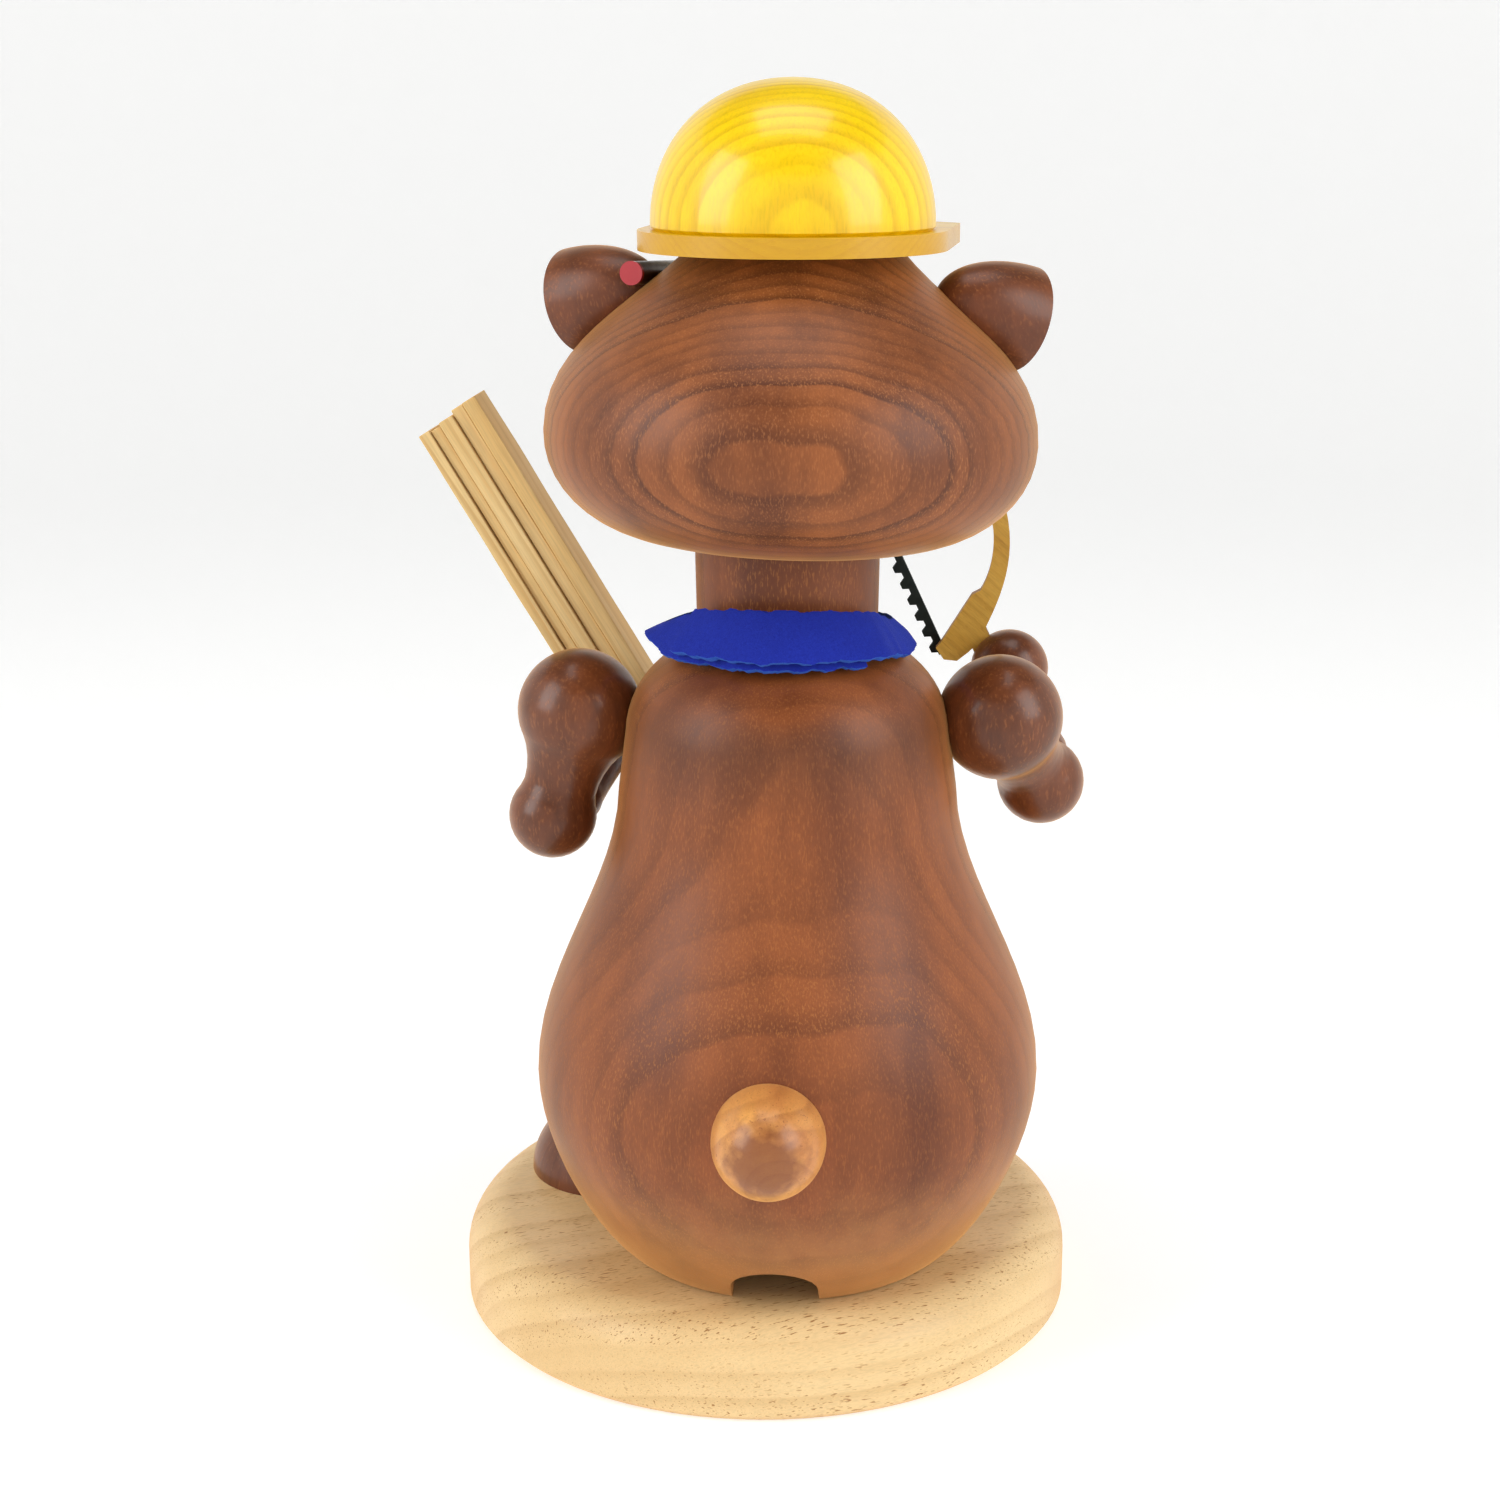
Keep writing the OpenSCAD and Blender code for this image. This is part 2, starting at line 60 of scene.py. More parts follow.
def add(tree, kind, inputs=None, **settings):
    """Adds one node; each input is given a value, or the output that feeds it."""
    made = tree.nodes.new("ShaderNode" + kind)
    for key, value in settings.items():
        setattr(made, key, value)
    for key, value in (inputs or {}).items():
        if isinstance(value, bpy.types.Node):
            value = next(o for o in value.outputs if o.enabled)
        if isinstance(value, bpy.types.NodeSocket):
            tree.links.new(value, made.inputs[key])
        else:
            made.inputs[key].default_value = value
    return made


def new_material(name):
    """An empty material with its shader and its object coordinates in millimetres."""
    made = bpy.data.materials.new(name)
    made.use_nodes = True
    tree = made.node_tree
    shader = tree.nodes["Principled BSDF"]
    where = add(tree, "TexCoord").outputs["Object"]
    place = add(tree, "VectorMath", {0: where, "Scale": 1000.0}, operation="SCALE")
    return made, tree, shader, place


def lay_over(tree, shader, mask, code):
    """Covers the shader's colour with another one where the mask is 1."""
    under = shader.inputs["Base Color"].links[0].from_socket
    mix = add(tree, "MixRGB", {"Fac": mask, "Color1": under, "Color2": linear(code)})
    tree.links.new(mix.outputs["Color"], shader.inputs["Base Color"])


def wood(name, body, deep, line, fleck, pith, grain=(0, 0, 1), ring=2.2, lines=0.5, flecks=0.5,
         fleck_size=(0.35, 2.2), fleck_from=0.6, blotch=18.0, blotches=1.0, roughness=0.38, coat=0.25,
         coat_roughness=0.2, sway_mm=5.0, bloom=0.7):
    """Timber cut from one place in a tree: rings round its pith, and pores or flecks along its grain.

    In mm: pith (a point on it), ring (from one to the next), fleck_size (across and along the
    grain), blotch (patches of stain), sway_mm (how far a ring strays). From 0 to 1: lines, flecks
    and blotches (how strongly each shows), fleck_from (the higher, the fewer) and bloom (the warm
    sheen on fibres seen edge on).
    """
    made, tree, shader, place = new_material(name)
    way = Vector(grain).normalized()
    turn = way.rotation_difference(Vector((0, 0, 1)))
    in_tree = add(tree, "Mapping", {
        "Vector": place, "Rotation": turn.to_euler(), "Location": -(turn @ Vector(pith))})
    # rings: distance from the pith, a little uneven, with a late-wood line at the end of each
    flat = add(tree, "VectorMath", {0: in_tree, 1: (1, 1, 0)}, operation="MULTIPLY")
    far = add(tree, "VectorMath", {0: flat}, operation="LENGTH").outputs["Value"]
    stretched = add(tree, "VectorMath", {0: in_tree, 1: (1, 1, 0.25)}, operation="MULTIPLY")
    bend = 28  # mm from one bend of the rings to the next
    sway = add(tree, "TexNoise", {"Vector": stretched, "Scale": 1 / bend, "Detail": 2.0}).outputs["Fac"]
    swayed = add(tree, "Math", {0: sway, 1: sway_mm, 2: far}, operation="MULTIPLY_ADD")
    count = add(tree, "Math", {0: swayed, 1: ring}, operation="DIVIDE")
    part = add(tree, "Math", {0: count}, operation="FRACT")
    early, darkest = 0.35, 0.9  # shares of a year's growth
    rise = add(tree, "MapRange", {"Value": part, "From Min": early, "From Max": darkest},
               interpolation_type="SMOOTHSTEP")
    fall = add(tree, "MapRange", {"Value": part, "From Min": 1.0, "From Max": darkest})
    late = add(tree, "Math", {0: rise, 1: fall}, operation="MULTIPLY")
    whole = add(tree, "Math", {0: count}, operation="FLOOR")
    year = add(tree, "TexWhiteNoise", {"W": whole}, noise_dimensions="1D").outputs["Value"]
    strength = add(tree, "MapRange", {"Value": year, "To Min": 0.25 * lines, "To Max": lines})
    ringed = add(tree, "Math", {0: late, 1: strength}, operation="MULTIPLY")
    # how deep the stain or the heartwood's colour went, in soft blotches
    cloud = add(tree, "TexNoise", {
        "Vector": stretched, "Scale": 1 / blotch, "Detail": 4.0, "Roughness": 0.6}).outputs["Fac"]
    soaked = add(tree, "MapRange", {"Value": cloud, "From Min": 0.36, "From Max": 0.66, "To Max": blotches})
    tone = add(tree, "MixRGB", {"Fac": soaked, "Color1": linear(body), "Color2": linear(deep)})
    tone = add(tree, "MixRGB", {"Fac": ringed, "Color1": tone, "Color2": linear(line)})
    # fibres and pores: long thin specks along the grain
    wide, long = fleck_size
    thin = add(tree, "VectorMath", {0: in_tree, 1: (1 / wide, 1 / wide, 1 / long)}, operation="MULTIPLY")
    speck = add(tree, "TexNoise", {
        "Vector": thin, "Scale": 1.0, "Detail": 2.0, "Roughness": 0.55}).outputs["Fac"]
    crowd = add(tree, "MapRange", {"Value": year, "To Min": 0.35 * flecks, "To Max": 1.25 * flecks})
    pores = add(tree, "MapRange", {
        "Value": speck, "From Min": fleck_from, "From Max": fleck_from + 0.1, "To Max": crowd})
    fibre = add(tree, "MapRange", {
        "Value": speck, "From Min": 0.3, "From Max": 0.7, "To Min": 0.9, "To Max": 1.1})
    tone = add(tree, "MixRGB", {"Fac": pores, "Color1": tone, "Color2": linear(fleck)})
    tone = add(tree, "HueSaturation", {"Value": fibre, "Color": tone})
    tree.links.new(tone.outputs["Color"], shader.inputs["Base Color"])
    rough = add(tree, "MapRange", {
        "Value": speck, "From Min": 0.3, "From Max": 0.7,
        "To Min": roughness - 0.05, "To Max": roughness + 0.07})
    tree.links.new(rough.outputs["Result"], shader.inputs["Roughness"])
    dents = add(tree, "Math", {0: pores, 1: -1.0, 2: ringed}, operation="MULTIPLY_ADD")
    pore_depth = 0.00006
    bump = add(tree, "Bump", {"Height": dents, "Strength": 0.35, "Distance": pore_depth})
    tree.links.new(bump.outputs["Normal"], shader.inputs["Normal"])
    shader.inputs["Specular IOR Level"].default_value = 0.3
    shader.inputs["Sheen Weight"].default_value = bloom
    shader.inputs["Sheen Roughness"].default_value = 0.32
    shader.inputs["Sheen Tint"].default_value = linear("#ffc27a")
    shader.inputs["Coat Weight"].default_value = coat
    shader.inputs["Coat Roughness"].default_value = coat_roughness
    return made, tree, shader, place


def finish_node(name, material):
    """Gives a carried-over part its material, and lets light run smoothly over its turned curves."""
    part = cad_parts[name]
    part.data.materials.clear()
    part.data.materials.append(material)
    if "custom_normal" in part.data.attributes:
        part.data.attributes.remove(part.data.attributes["custom_normal"])
    for face in part.data.polygons:
        face.use_smooth = True
    weld = part.modifiers.new("weld", "WELD")
    weld.merge_threshold = 0.000002  # only points that lie on each other
    split = part.modifiers.new("sharp edges", "EDGE_SPLIT")
    split.split_angle = math.radians(24)  # more than a facet's turn, less than a real edge's


# Natural beech under satin lacquer: pale straw wood, faint tan rings, short brown flecks
beech, *_ = wood(
    "natural beech, satin lacquer", "#e6c894", "#dab882", "#c49c66", "#96693a", pith=(-60, 10, -40),
    grain=(1, 0.45, 0), ring=4.2, lines=0.45, flecks=0.95, fleck_size=(0.3, 1.9), fleck_from=0.585,
    blotch=26, roughness=0.46, coat=0.1, sway_mm=4.0)
finish_node("base_plate", beech)

# ---------------------------------------------------------------- feet
# Two half eggs of stained wood, glued to the plate in front of the belly.

# Dark brown stain: the rings sink into it, and only some pale flecks stay to be seen
foot_wood, *_ = wood(
    "dark brown stained wood, satin lacquer", "#6c391c", "#4a2511", "#3f1d0d", "#845026",
    pith=(20, 60, 0), ring=1.6, lines=0.4, flecks=0.45, roughness=0.4)
for name in ("left_foot", "right_foot"):
    finish_node(name, foot_wood)

# ---------------------------------------------------------------- locating disc, ember dish and tack
# A raw beech disc centres the hollow body, and a pressed tinned dish on it carries the cone.
# One brass tack holds both, and they turn on it.

# Raw beech: the same pale wood without lacquer, so it is duller
raw_beech, *_ = wood(
    "raw beech", "#e3c795", "#d3b07a", "#b98c55", "#94683a", pith=(10, 70, 0), ring=2.6, flecks=0.7,
    roughness=0.6, coat=0.0)
finish_node("locating_disc", raw_beech)

# Tinplate: bright but dulled by smoke, darker in the middle where the ember lies
tinplate, tree, shader, place = new_material("tinplate, smoked")
around = add(tree, "VectorMath", {0: place, 1: (1, 1, 0)}, operation="MULTIPLY")
out = add(tree, "VectorMath", {0: around}, operation="LENGTH").outputs["Value"]
haze = add(tree, "TexNoise", {"Vector": place, "Scale": 0.4, "Detail": 4.0}).outputs["Fac"]
edge = add(tree, "Math", {0: haze, 1: 6.0, 2: out}, operation="MULTIPLY_ADD")
sooty_r, clean_r = 7.0, 14.0
clean = add(tree, "MapRange", {"Value": edge, "From Min": sooty_r, "From Max": clean_r})
tone = add(tree, "MixRGB", {"Fac": clean, "Color1": linear("#3d332b"), "Color2": linear("#b4b1aa")})
tree.links.new(tone.outputs["Color"], shader.inputs["Base Color"])
worn = add(tree, "MapRange", {"Value": haze, "To Min": 0.28, "To Max": 0.55})
tree.links.new(worn.outputs["Result"], shader.inputs["Roughness"])
shader.inputs["Metallic"].default_value = 1.0
finish_node("ember_dish", tinplate)

# Brass: a tack head polished by hand, with faint scratches
brass, tree, shader, place = new_material("brass, hand worn")
scratch = add(tree, "TexNoise", {"Vector": place, "Scale": 3.0, "Detail": 5.0}).outputs["Fac"]
tone = add(tree, "MixRGB", {"Fac": scratch, "Color1": linear("#a67c33"), "Color2": linear("#d8b565")})
tree.links.new(tone.outputs["Color"], shader.inputs["Base Color"])
worn = add(tree, "MapRange", {"Value": scratch, "To Min": 0.2, "To Max": 0.45})
tree.links.new(worn.outputs["Result"], shader.inputs["Roughness"])
shader.inputs["Metallic"].default_value = 1.0
finish_node("disc_tack", brass)

# ---------------------------------------------------------------- body
# One turned piece from rim to neck, bored out below for the ember, stained brown and
# lacquered. The stain took unevenly. Lower down, towards the rim, the wood is painted a
# paler tan: partly its own lighter colour, partly painted light bounced up from the floor.
body_low = Vector(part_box("body")[0]) * 1000

# Brown stain over beech: orange brown with darker clouds and rings, and fine pale flecks
body_wood, tree, shader, place = wood(
    "brown stained beech, satin lacquer", "#8c4c24", "#653114", "#54260d", "#a0642f",
    pith=(4, -50, 0), ring=3.4, lines=0.55, flecks=0.42, fleck_size=(0.24, 1.1), fleck_from=0.55,
    blotch=15, roughness=0.45, coat=0.08, coat_roughness=0.35, sway_mm=7.0)
axes = add(tree, "SeparateXYZ", {0: place})
drift = add(tree, "TexNoise", {
    "Vector": place, "Scale": 1 / 9, "Detail": 5.0, "Roughness": 0.65}).outputs["Fac"]
height = add(tree, "Math", {0: drift, 1: 26.0, 2: axes.outputs["Z"]}, operation="MULTIPLY_ADD")
# Painted light in part: the lower belly turns a paler tan, partly the wood's colour, partly painted floor
# bounce
light_from, light_full = body_low.z + 42, body_low.z + 10
lower = add(tree, "MapRange", {
    "Value": height, "From Min": light_from, "From Max": light_full, "To Max": 0.62},
    interpolation_type="SMOOTHSTEP")
lay_over(tree, shader, lower, "#b57d46")
# Soot on the wall of the ember chamber: a black-brown that fades out near the neck
around = add(tree, "VectorMath", {0: place, 1: (1, 1, 0)}, operation="MULTIPLY")
out = add(tree, "VectorMath", {0: around}, operation="LENGTH").outputs["Value"]
inside = add(tree, "MapRange", {"Value": out, "From Min": 26.0, "From Max": 22.0})
below = add(tree, "MapRange", {"Value": axes.outputs["Z"], "From Min": 106.0, "From Max": 101.0})
soot = add(tree, "Math", {0: inside, 1: below}, operation="MULTIPLY")
lay_over(tree, shader, soot, "#1d1510")
finish_node("body", body_wood)

# ---------------------------------------------------------------- tail and dowels
# A turned knob on a beech dowel. Its end grain faces out and drank the stain in the middle.
tail_low, tail_high = (Vector(corner) * 1000 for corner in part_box("tail"))
tail_middle = (tail_low + tail_high) / 2

# Light brown stain on end grain: tan at the rim, dark brown where the pores drank most
tail_wood, tree, shader, place = wood(
    "light brown stained wood, satin lacquer", "#d8984f", "#bd7a40", "#94562a", "#74401f",
    pith=(tail_middle.x - 2, 0, tail_middle.z - 4), grain=(0, 1, 0), ring=1.9, lines=0.4,
    flecks=0.5, fleck_size=(0.4, 0.6), fleck_from=0.6, blotch=6, roughness=0.38, coat=0.3)
aside = add(tree, "VectorMath", {0: place, 1: tail_middle}, operation="SUBTRACT")
flat = add(tree, "VectorMath", {0: aside, 1: (1, 0, 1)}, operation="MULTIPLY")
out = add(tree, "VectorMath", {0: flat}, operation="LENGTH").outputs["Value"]
ragged = add(tree, "TexNoise", {"Vector": place, "Scale": 0.5, "Detail": 4.0}).outputs["Fac"]
edge = add(tree, "Math", {0: ragged, 1: 5.0, 2: out}, operation="MULTIPLY_ADD")
pale_r, dark_r = 9.2, 6.4
middle = add(tree, "MapRange", {
    "Value": edge, "From Min": pale_r, "From Max": dark_r, "To Max": 0.85})
lay_over(tree, shader, middle, "#7d4626")
finish_node("tail", tail_wood)
for name in ("tail_dowel", "ear_dowels", "helmet_dowel", "shoulder_dowels", "elbow_dowels"):
    finish_node(name, raw_beech)

# ---------------------------------------------------------------- head
# A wide turned piece on the body's tenon, bored for the smoke. It is cut with its grain
# upright, so its rings show as level ovals on the back.

# Brown stain over maple: the body's colours, with closer and darker rings
head_wood, *_ = wood(
    "brown stained maple, satin lacquer", "#8d4f26", "#643317", "#4c230d", "#a0663a",
    pith=(2, -44, 0), ring=1.8, lines=0.85, flecks=0.42, fleck_size=(0.24, 1.0), fleck_from=0.55,
    blotch=12, roughness=0.45, coat=0.08, coat_roughness=0.35, sway_mm=4.0)
finish_node("head", head_wood)

# ---------------------------------------------------------------- muzzle, nose and eyes
# A lighter turned egg is glued to the face, with a nose of black lacquered wood on top.
# The eyes are black glass-like beads half sunk in the head.

# Light stain over maple: a pale tan that leaves its rings faint
muzzle_wood, *_ = wood(
    "light stained maple, satin lacquer", "#cf9f6a", "#b98350", "#94602f", "#7c4a26",
    pith=(0, -20, 90), grain=(0, 1, 0), ring=2.0, lines=0.35, flecks=0.35, fleck_size=(0.35, 0.8),
    blotch=8)
finish_node("muzzle", muzzle_wood)

# Black lacquer on small beads: deep and even, a few fine brush marks in the gloss
black_bead, tree, shader, place = new_material("black lacquer, glossy")
brushed = add(tree, "TexNoise", {"Vector": place, "Scale": 0.9, "Detail": 3.0}).outputs["Fac"]
tone = add(tree, "MixRGB", {"Fac": brushed, "Color1": linear("#0d0a09"), "Color2": linear("#1c1613")})
tree.links.new(tone.outputs["Color"], shader.inputs["Base Color"])
worn = add(tree, "MapRange", {"Value": brushed, "To Min": 0.1, "To Max": 0.22})
tree.links.new(worn.outputs["Result"], shader.inputs["Roughness"])
shader.inputs["Coat Weight"].default_value = 0.6
shader.inputs["Coat Roughness"].default_value = 0.05
for name in ("left_eye", "right_eye"):
    finish_node(name, black_bead)


def new_piece(name, body, mesh_code, material):
    """Makes a piece from bmesh code, smooths it and lets it ride on a body."""
    mesh = bpy.data.meshes.new(name)
    shape = bmesh.new()
    mesh_code(shape)
    shape.to_mesh(mesh)
    shape.free()
    piece = bpy.data.objects.new(name, mesh)
    bpy.context.scene.collection.objects.link(piece)
    mesh.materials.append(material)
    for face in mesh.polygons:
        face.use_smooth = True
    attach(piece, body)
    return piece


nose_low, nose_high = (Vector(corner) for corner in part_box("nose"))


def carve_nose(shape):
    """A ball pressed flatter in front and drawn in below, like a bear's nose."""
    bmesh.ops.create_uvsphere(shape, u_segments=48, v_segments=32, radius=1.0)
    half = (nose_high - nose_low) / 2
    for v in shape.verts:
        x, y, z = v.co
        narrow = 1.0 - 0.28 * max(0.0, -z) ** 1.5
        flat_front = 0.86 if y < 0 else 1.0
        v.co = Vector((x * narrow * half.x, y * half.y * flat_front, z * half.z * 0.84))
        v.co += (nose_high + nose_low) / 2


nose = new_piece("carved_nose", "figure", carve_nose, black_bead)
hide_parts("nose")

# ---------------------------------------------------------------- ears
# Two turned cups, cut off slantwise and glued to the head with their hollows forward.

# Red-brown stain: darker than the head's, with faint rings and lighter flecks
ear_wood, *_ = wood(
    "red-brown stained wood, satin lacquer", "#743d1e", "#502713", "#421e0d", "#95592c",
    pith=(0, -70, 140), grain=(0.2, 0.1, 1), ring=2.1, lines=0.3, flecks=0.42, fleck_size=(0.4, 1.1),
    fleck_from=0.56, blotch=9, roughness=0.42, coat=0.2, coat_roughness=0.3)
for name in ("left_ear", "right_ear"):
    finish_node(name, ear_wood)

# ---------------------------------------------------------------- hard hat
# A turned dome on a sawn brim, dowelled through to the head, both stained a transparent
# yellow that leaves the grain to be seen, under glossy lacquer.

# Transparent yellow stain: strong colour with brown-yellow rings, and tight lights in the lacquer
yellow_dome, *_ = wood(
    "yellow stained maple, glossy lacquer", "#ecc800", "#dfb400", "#b98400", "#c08a00",
    pith=(2, -30, 0), ring=1.5, lines=0.55, flecks=0.3, fleck_size=(0.35, 3.0), fleck_from=0.57,
    blotch=12, blotches=0.8, roughness=0.34, coat=0.4, coat_roughness=0.14, sway_mm=3.0, bloom=0.0)
finish_node("helmet_dome", yellow_dome)

# The same stain on the brim, browner on the sawn edge, where the end grain took more of it
yellow_brim, tree, shader, place = wood(
    "yellow stained maple, sawn edge", "#e6bc0c", "#d7a605", "#b98208", "#a8750c",
    pith=(0, 0, 160), grain=(1, 0.1, 0), ring=0.9, lines=0.45, flecks=0.45, fleck_size=(0.3, 1.4),
    fleck_from=0.57, blotch=9, roughness=0.34, coat=0.4, bloom=0.0)
faces = add(tree, "SeparateXYZ", {0: add(tree, "TexCoord").outputs["Normal"]}).outputs["Z"]
upright = add(tree, "Math", {0: faces}, operation="ABSOLUTE")
sawn = add(tree, "MapRange", {"Value": upright, "From Min": 0.7, "From Max": 0.2, "To Max": 0.7})
lay_over(tree, shader, sawn, "#bb8516")
finish_node("helmet_brim", yellow_brim)

# ---------------------------------------------------------------- pencil
# A round carpenter's pencil behind the left ear, its end dipped in red, and the point cut
# down to bare wood round the lead. The shaft is painted brown-black: painted shade where it
# lies between the brim and the ear.
pencil_points = np.array([v.co[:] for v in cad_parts["pencil"].data.vertices]) * 1000
pencil_centre = pencil_points.mean(axis=0)
pencil_way = np.linalg.svd(pencil_points - pencil_centre, full_matrices=False)[2][0]
pencil_way *= -np.sign(pencil_way[1])
reach = (pencil_points - pencil_centre) @ pencil_way
pencil_end = pencil_centre + reach.min() * pencil_way
pencil_length = reach.max() - reach.min()

# Pencil: shaft painted brown-black and slightly uneven as painted shade, a red end, bare wood at the point
pencil_lacquer_and_shade, tree, shader, place = new_material("pencil lacquer, red end, shaft painted dark as shade")
from_end = add(tree, "VectorMath", {0: place, 1: pencil_end}, operation="SUBTRACT")
along = add(tree, "VectorMath", {0: from_end, 1: pencil_way}, operation="DOT_PRODUCT").outputs["Value"]
grained = add(tree, "TexNoise", {"Vector": place, "Scale": 1.2, "Detail": 3.0}).outputs["Fac"]
# Painted shade: the brown-black of the shaft stands for the shadow between brim and ear
tone = add(tree, "MixRGB", {"Fac": grained, "Color1": linear("#24110d"), "Color2": linear("#35180f")})
dipped = add(tree, "MapRange", {"Value": along, "From Min": 1.0, "From Max": 0.7})
tone = add(tree, "MixRGB", {"Fac": dipped, "Color1": tone, "Color2": linear("#b02630")})
uneven = add(tree, "Math", {0: grained, 1: 1.6, 2: along}, operation="MULTIPLY_ADD")
bare = add(tree, "MapRange", {
    "Value": uneven, "From Min": pencil_length - 4.6, "From Max": pencil_length - 4.4})
tone = add(tree, "MixRGB", {"Fac": bare, "Color1": tone, "Color2": linear("#d8a878")})
tree.links.new(tone.outputs["Color"], shader.inputs["Base Color"])
worn = add(tree, "MapRange", {"Value": grained, "To Min": 0.25, "To Max": 0.45})
tree.links.new(worn.outputs["Result"], shader.inputs["Roughness"])
shader.inputs["Coat Weight"].default_value = 0.3
finish_node("pencil", pencil_lacquer_and_shade)

# Graphite: dark grey with a dull metallic sheen
graphite, tree, shader, place = new_material("graphite")
powder = add(tree, "TexNoise", {"Vector": place, "Scale": 4.0, "Detail": 3.0}).outputs["Fac"]
tone = add(tree, "MixRGB", {"Fac": powder, "Color1": linear("#1d1d1f"), "Color2": linear("#3a3a3d")})
tree.links.new(tone.outputs["Color"], shader.inputs["Base Color"])
worn = add(tree, "MapRange", {"Value": powder, "To Min": 0.35, "To Max": 0.6})
tree.links.new(worn.outputs["Result"], shader.inputs["Roughness"])
finish_node("pencil_lead", graphite)

# ---------------------------------------------------------------- neckerchief
# A strip of blue wool felt with a point in its middle, cut with scissors and wound once
# round the neck. Its two ends are glued over each other behind, and the point hangs in front.
FELT = 1.2  # thickness, mm
ROUND = 48  # stations in a quarter turn
body_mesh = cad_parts["body"].data
body_skin = BVHTree.FromPolygons(
    [v.co for v in body_mesh.vertices], [p.vertices[:] for p in body_mesh.polygons])


def skin_radius(angle, z):
    """How far the body's outside is from the axis, in mm, at a height and an angle from behind."""
    out = Vector((math.sin(angle), math.cos(angle), 0))
    hit = body_skin.ray_cast(out * 0.08 + Vector((0, 0, z / 1000)), -out)[0]
    return hit.xy.length * 1000 if hit else 0.0


inner_end, outer_end = math.radians(-41), math.radians(360 + 51)
stations, rows = 4 * ROUND * 2, 22
AIR = 0.12  # between the felt and the body, mm


def lay_felt(shape):
    """Winds the strip: the station runs from the inner end round the front to the outer end."""
    grid = []
    for i in range(stations + 1):
        t = i / stations
        angle = inner_end + (outer_end - inner_end) * t
        behind = 0.5 + 0.5 * math.cos(angle)
        # the outer end lies over the inner one: 0 below, 1 on top
        layer = min(1.0, max(0.0, (angle - math.radians(285)) / math.radians(30)))
        layer = layer * layer * (3 - 2 * layer)
        # the corners that stand off at each side
        left = math.exp(-(((angle - math.radians(84)) / 0.3) ** 2))
        right = math.exp(-(((angle - math.radians(278)) / 0.3) ** 2))
        # radius and height of the upper and the lower edge, in mm
        top = Vector((
            14.8 + 3.6 * left + 0.9 * right + (FELT + 0.25) * layer,
            116.9 + 3.1 * math.cos(angle) + 0.5 * layer - 1.9 * left - 0.8 * right))
        low = Vector((
            19.2 + 2.6 * left - 0.3 * right + (FELT + 0.35) * layer,
            112.3 - 0.8 * (1 - behind) + 1.5 * layer + 1.9 * left - 0.2 * right))
        point = max(0.0, 1 - abs(angle - math.pi) / 0.62)
        drop = 17.5 * point
        row = []
        for j in range(rows + 1):
            s = j / rows
            ragged = 0.22 * noise.noise(Vector((angle * 9, 3.1, 0)))
            ragged += 0.1 * noise.noise(Vector((angle * 40, 1.7, 0)))
            share = s * (1 + 0.25 * ragged) + 0.25 * ragged * (1 - s)
            lower_z = low[1] - drop * max(0.0, s - 0.35) / 0.65
            z = top[1] + (lower_z - top[1]) * share
            bulge = 0.25 * math.sin(math.pi * s)
            r = top[0] + (low[0] - top[0]) * share + bulge
            wave = 0.3 * s * math.sin(7 * angle + 0.6)
            wave += 0.7 * (0.3 + 0.7 * s) * noise.noise(Vector((angle * 2.5, s, layer * 3)))
            uneven_cut = 0.02 * noise.noise(Vector((s * 3, 5.5, 0))) if i in (0, stations) else 0
            a = angle + uneven_cut
            r = max(r + wave, skin_radius(a, z) + AIR + FELT / 2 + (FELT + 0.15) * layer)
            fuzz = 0.09 * noise.noise(Vector((angle * 60, s * 22, 0)))
            out = Vector((math.sin(a) * (r + fuzz), math.cos(a) * (r + fuzz), z))
            row.append(shape.verts.new(out / 1000))
        grid.append(row)
    for i in range(stations):
        for j in range(rows):
            shape.faces.new((grid[i][j], grid[i + 1][j], grid[i + 1][j + 1], grid[i][j + 1]))


# Wool felt: matt, its fibres lying every way; cut edges look lighter where they catch light
felt, tree, shader, place = new_material("blue wool felt")
fibres = add(tree, "TexNoise", {
    "Vector": place, "Scale": 2.6, "Detail": 8.0, "Roughness": 0.75, "Distortion": 1.5}).outputs["Fac"]
matted = add(tree, "TexNoise", {"Vector": place, "Scale": 0.35, "Detail": 3.0}).outputs["Fac"]
fine = add(tree, "MapRange", {"Value": fibres, "From Min": 0.3, "From Max": 0.7})
tone = add(tree, "MixRGB", {"Fac": fine, "Color1": linear("#101c7c"), "Color2": linear("#2337b4")})
shade = add(tree, "MapRange", {"Value": matted, "To Min": 0.0, "To Max": 0.45})
tone = add(tree, "MixRGB", {"Fac": shade, "Color1": tone, "Color2": linear("#141f86")})
lint = add(tree, "MapRange", {"Value": fibres, "From Min": 0.7, "From Max": 0.78, "To Max": 0.4})
tone = add(tree, "MixRGB", {"Fac": lint, "Color1": tone, "Color2": linear("#4d63cf")})
tree.links.new(tone.outputs["Color"], shader.inputs["Base Color"])
bump = add(tree, "Bump", {"Height": fibres, "Strength": 0.8, "Distance": 0.0002})
tree.links.new(bump.outputs["Normal"], shader.inputs["Normal"])
worn = add(tree, "MapRange", {"Value": fibres, "To Min": 0.88, "To Max": 1.0})
tree.links.new(worn.outputs["Result"], shader.inputs["Roughness"])
shader.inputs["Sheen Weight"].default_value = 0.25
shader.inputs["Sheen Roughness"].default_value = 0.5
shader.inputs["Sheen Tint"].default_value = linear("#5f7fe0")
shader.inputs["Specular IOR Level"].default_value = 0.2

